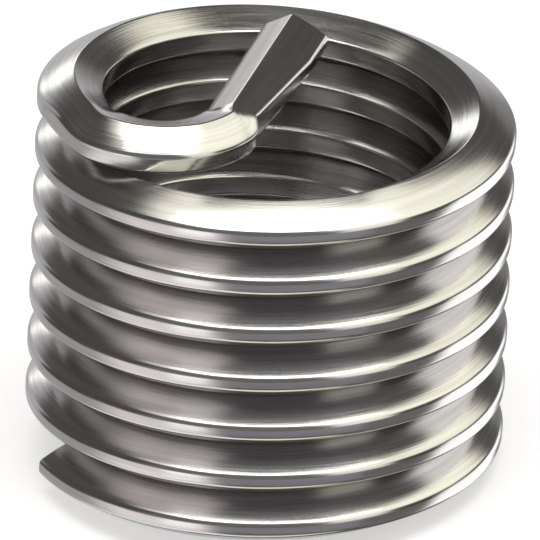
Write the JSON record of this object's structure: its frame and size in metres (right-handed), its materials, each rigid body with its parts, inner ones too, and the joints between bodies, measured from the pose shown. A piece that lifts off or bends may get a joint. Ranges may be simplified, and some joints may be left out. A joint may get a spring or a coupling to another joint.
{
  "type": "helical thread insert",
  "caption": "Coiled diamond-section steel wire that relines a tapped hole, with a driving tang bent across its mouth.",
  "frame": {"origin": "on the coil's axis, at the height of its lowest point", "axes": "+Z along the coil's axis towards the tang; -Y is the front, the side that the tang's bend is on"},
  "size_m": [0.0224, 0.0224, 0.0199],
  "materials": {
    "steel_wire": "bright drawn"
  },
  "bodies": {
    "root": {"insert_wire": "steel_wire"}
  },
  "joints": []
}
